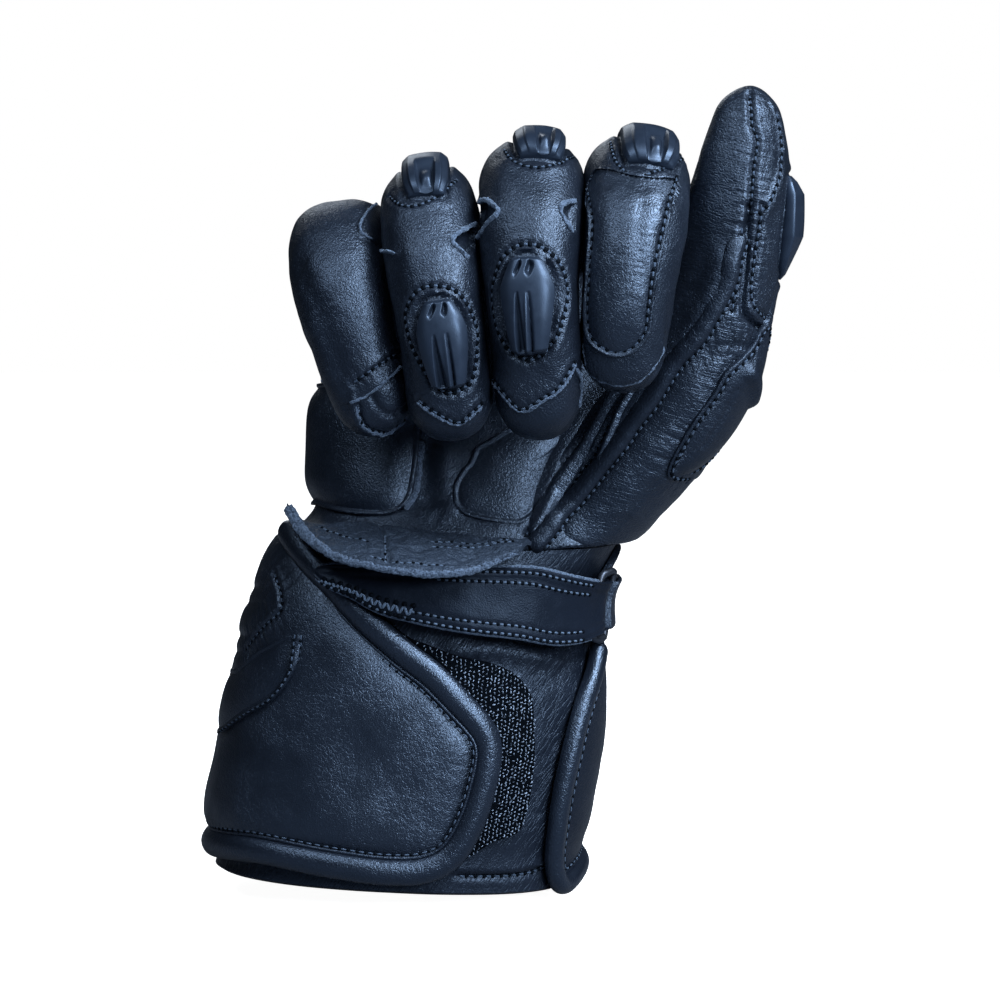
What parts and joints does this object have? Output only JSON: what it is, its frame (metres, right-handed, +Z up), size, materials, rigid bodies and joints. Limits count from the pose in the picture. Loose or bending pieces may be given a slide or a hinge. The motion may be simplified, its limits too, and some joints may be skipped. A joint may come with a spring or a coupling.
{
  "type": "right-hand winter motorcycle glove",
  "caption": "Long-cuffed leather riding glove for the right hand, half closed as on a handlebar, with hard sliders, a wrist strap and a wrap-over cuff flap.",
  "frame": {"origin": "centre of the cuff's mouth, where the wrist goes in", "axes": "+Z up from the cuff's mouth to the fingers, +X towards the thumb, -Y the palm side"},
  "size_m": [0.1545, 0.1085, 0.2081],
  "materials": {
    "main_leather": "blue-black goat leather, fine grain, soft sheen",
    "smooth_leather": "smoother blue-black cowhide, soft gloss",
    "slider_plastic": "moulded hard plastic, satin gloss",
    "loop_fabric": "black loop pile and sewing thread",
    "ring_metal": "darkened steel wire"
  },
  "bodies": {
    "root": {"palm_panel": "main_leather", "back_panel": "main_leather", "little_finger": "main_leather", "ring_finger": "main_leather", "middle_finger": "main_leather", "index_finger": "main_leather", "thumb": "main_leather", "ring_knuckle_slider": "slider_plastic", "middle_knuckle_slider": "slider_plastic", "index_knuckle_slider": "slider_plastic", "ring_tip_slider": "slider_plastic", "middle_tip_slider": "slider_plastic", "thumb_slider": "slider_plastic", "index_top_panel": "smooth_leather", "thumb_knuckle_pad": "smooth_leather", "palm_side_pad": "smooth_leather", "palm_centre_pad": "smooth_leather", "cuff_leaf": "smooth_leather", "cuff_inner": "main_leather", "cuff_flap": "smooth_leather", "cuff_back": "smooth_leather", "flap_roll": "smooth_leather", "back_roll": "smooth_leather", "loop_patch": "loop_fabric", "wrist_strap": "smooth_leather", "strap_ring": "ring_metal", "ring_tab": "smooth_leather", "heel_tongue": "main_leather", "thumb_welt": "main_leather"}
  },
  "joints": []
}
